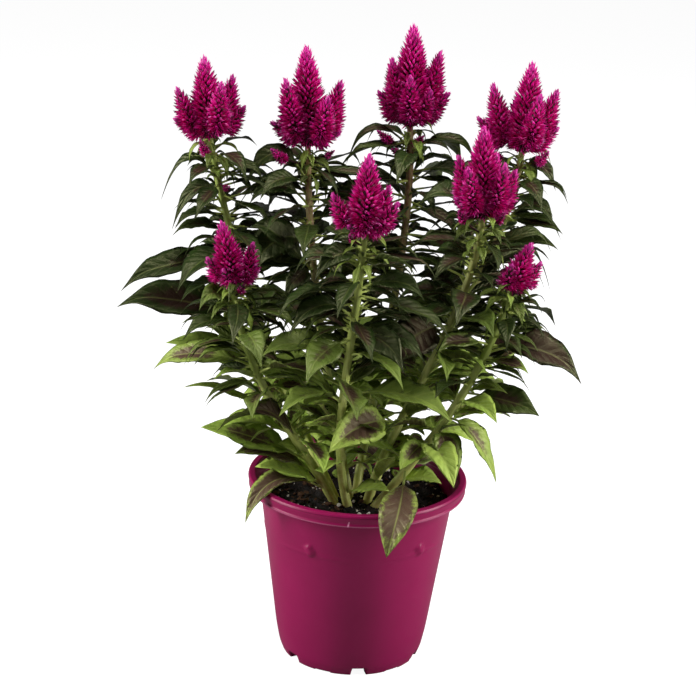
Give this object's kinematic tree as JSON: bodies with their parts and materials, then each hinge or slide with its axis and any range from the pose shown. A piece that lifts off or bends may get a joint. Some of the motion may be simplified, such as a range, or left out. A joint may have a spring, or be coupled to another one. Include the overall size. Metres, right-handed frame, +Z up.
{
  "type": "plumed celosia in a nursery pot",
  "caption": "Potted celosia: upright leafy stems with magenta plumes of pointed spikes over dark green leaves, in a tapered magenta plastic nursery pot filled with soil.",
  "frame": {"origin": "centre of the pot's underside, in the plane that it stands on", "axes": "+Z up through the plant, +X to the right and +Y to the back as seen from the front"},
  "size_m": [0.354, 0.2586, 0.489],
  "materials": {
    "pot": "satin moulded magenta polypropylene, slightly worn",
    "soil": "near-black moist peat with pale perlite crumbs",
    "foliage": "soft green leaves and ribbed stems, darker and purple-flushed higher up",
    "flower": "papery magenta tepals, darker between them"
  },
  "bodies": {
    "root": {"pot": "pot", "soil": "soil", "leafy_stem_far_left": "foliage", "flower_head_far_left": "flower", "leafy_stem_mid_left": "foliage", "flower_head_mid_left": "flower", "leafy_stem_mid_back": "foliage", "flower_head_mid_back": "flower", "leafy_stem_far_right": "foliage", "flower_head_far_right": "flower", "leafy_stem_right": "foliage", "flower_head_right": "flower", "leafy_stem_front": "foliage", "flower_head_front": "flower", "leafy_stem_low_left": "foliage", "flower_head_low_left": "flower", "leafy_stem_low_right": "foliage", "flower_head_low_right": "flower"}
  },
  "joints": []
}
